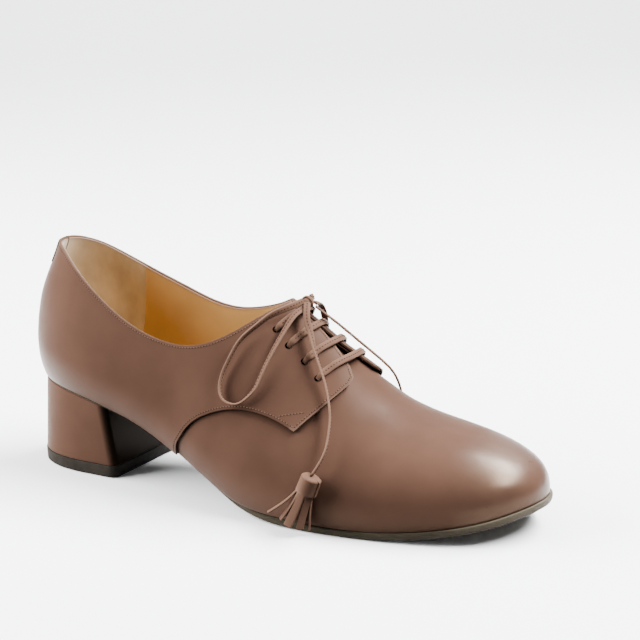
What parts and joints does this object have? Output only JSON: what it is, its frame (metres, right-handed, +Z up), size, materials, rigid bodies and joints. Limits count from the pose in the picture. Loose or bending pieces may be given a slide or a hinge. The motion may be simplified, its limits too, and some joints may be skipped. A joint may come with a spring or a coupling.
{
  "type": "heeled derby shoe",
  "caption": "Women's heeled derby shoe for the right foot: hollow leather upper with open lacing, thin sole, flared block heel and a bow lace that ends in leather tassels.",
  "frame": {"origin": "on the floor, at the middle of the shoe's length and width, measured without the bow", "axes": "+X to the toe, +Y to the inner side of the foot, +Z up"},
  "size_m": [0.2464, 0.1097, 0.1002],
  "materials": {
    "upper_leather": "smooth taupe-brown leather, soft gloss",
    "heel_leather": "heel cover in the upper's leather",
    "tan_lining": "tan lining leather",
    "sole_edge": "dark stained sole leather",
    "top_piece_rubber": "dark rubber",
    "lace_leather": "stitched leather strap, lighter than the upper"
  },
  "bodies": {
    "root": {"upper": "upper_leather", "tongue": "upper_leather", "insole": "tan_lining", "outsole": "sole_edge", "heel": "heel_leather", "top_piece": "top_piece_rubber", "lace_bar_1": "lace_leather", "lace_bar_2": "lace_leather", "lace_bar_3": "lace_leather", "lace_bar_4": "lace_leather", "lace_knot": "lace_leather", "lace_loop_lateral": "lace_leather", "lace_loop_medial": "lace_leather", "lace_end_lateral": "lace_leather", "lace_end_medial": "lace_leather", "tassel_lateral": "lace_leather", "tassel_medial": "lace_leather"}
  },
  "joints": []
}
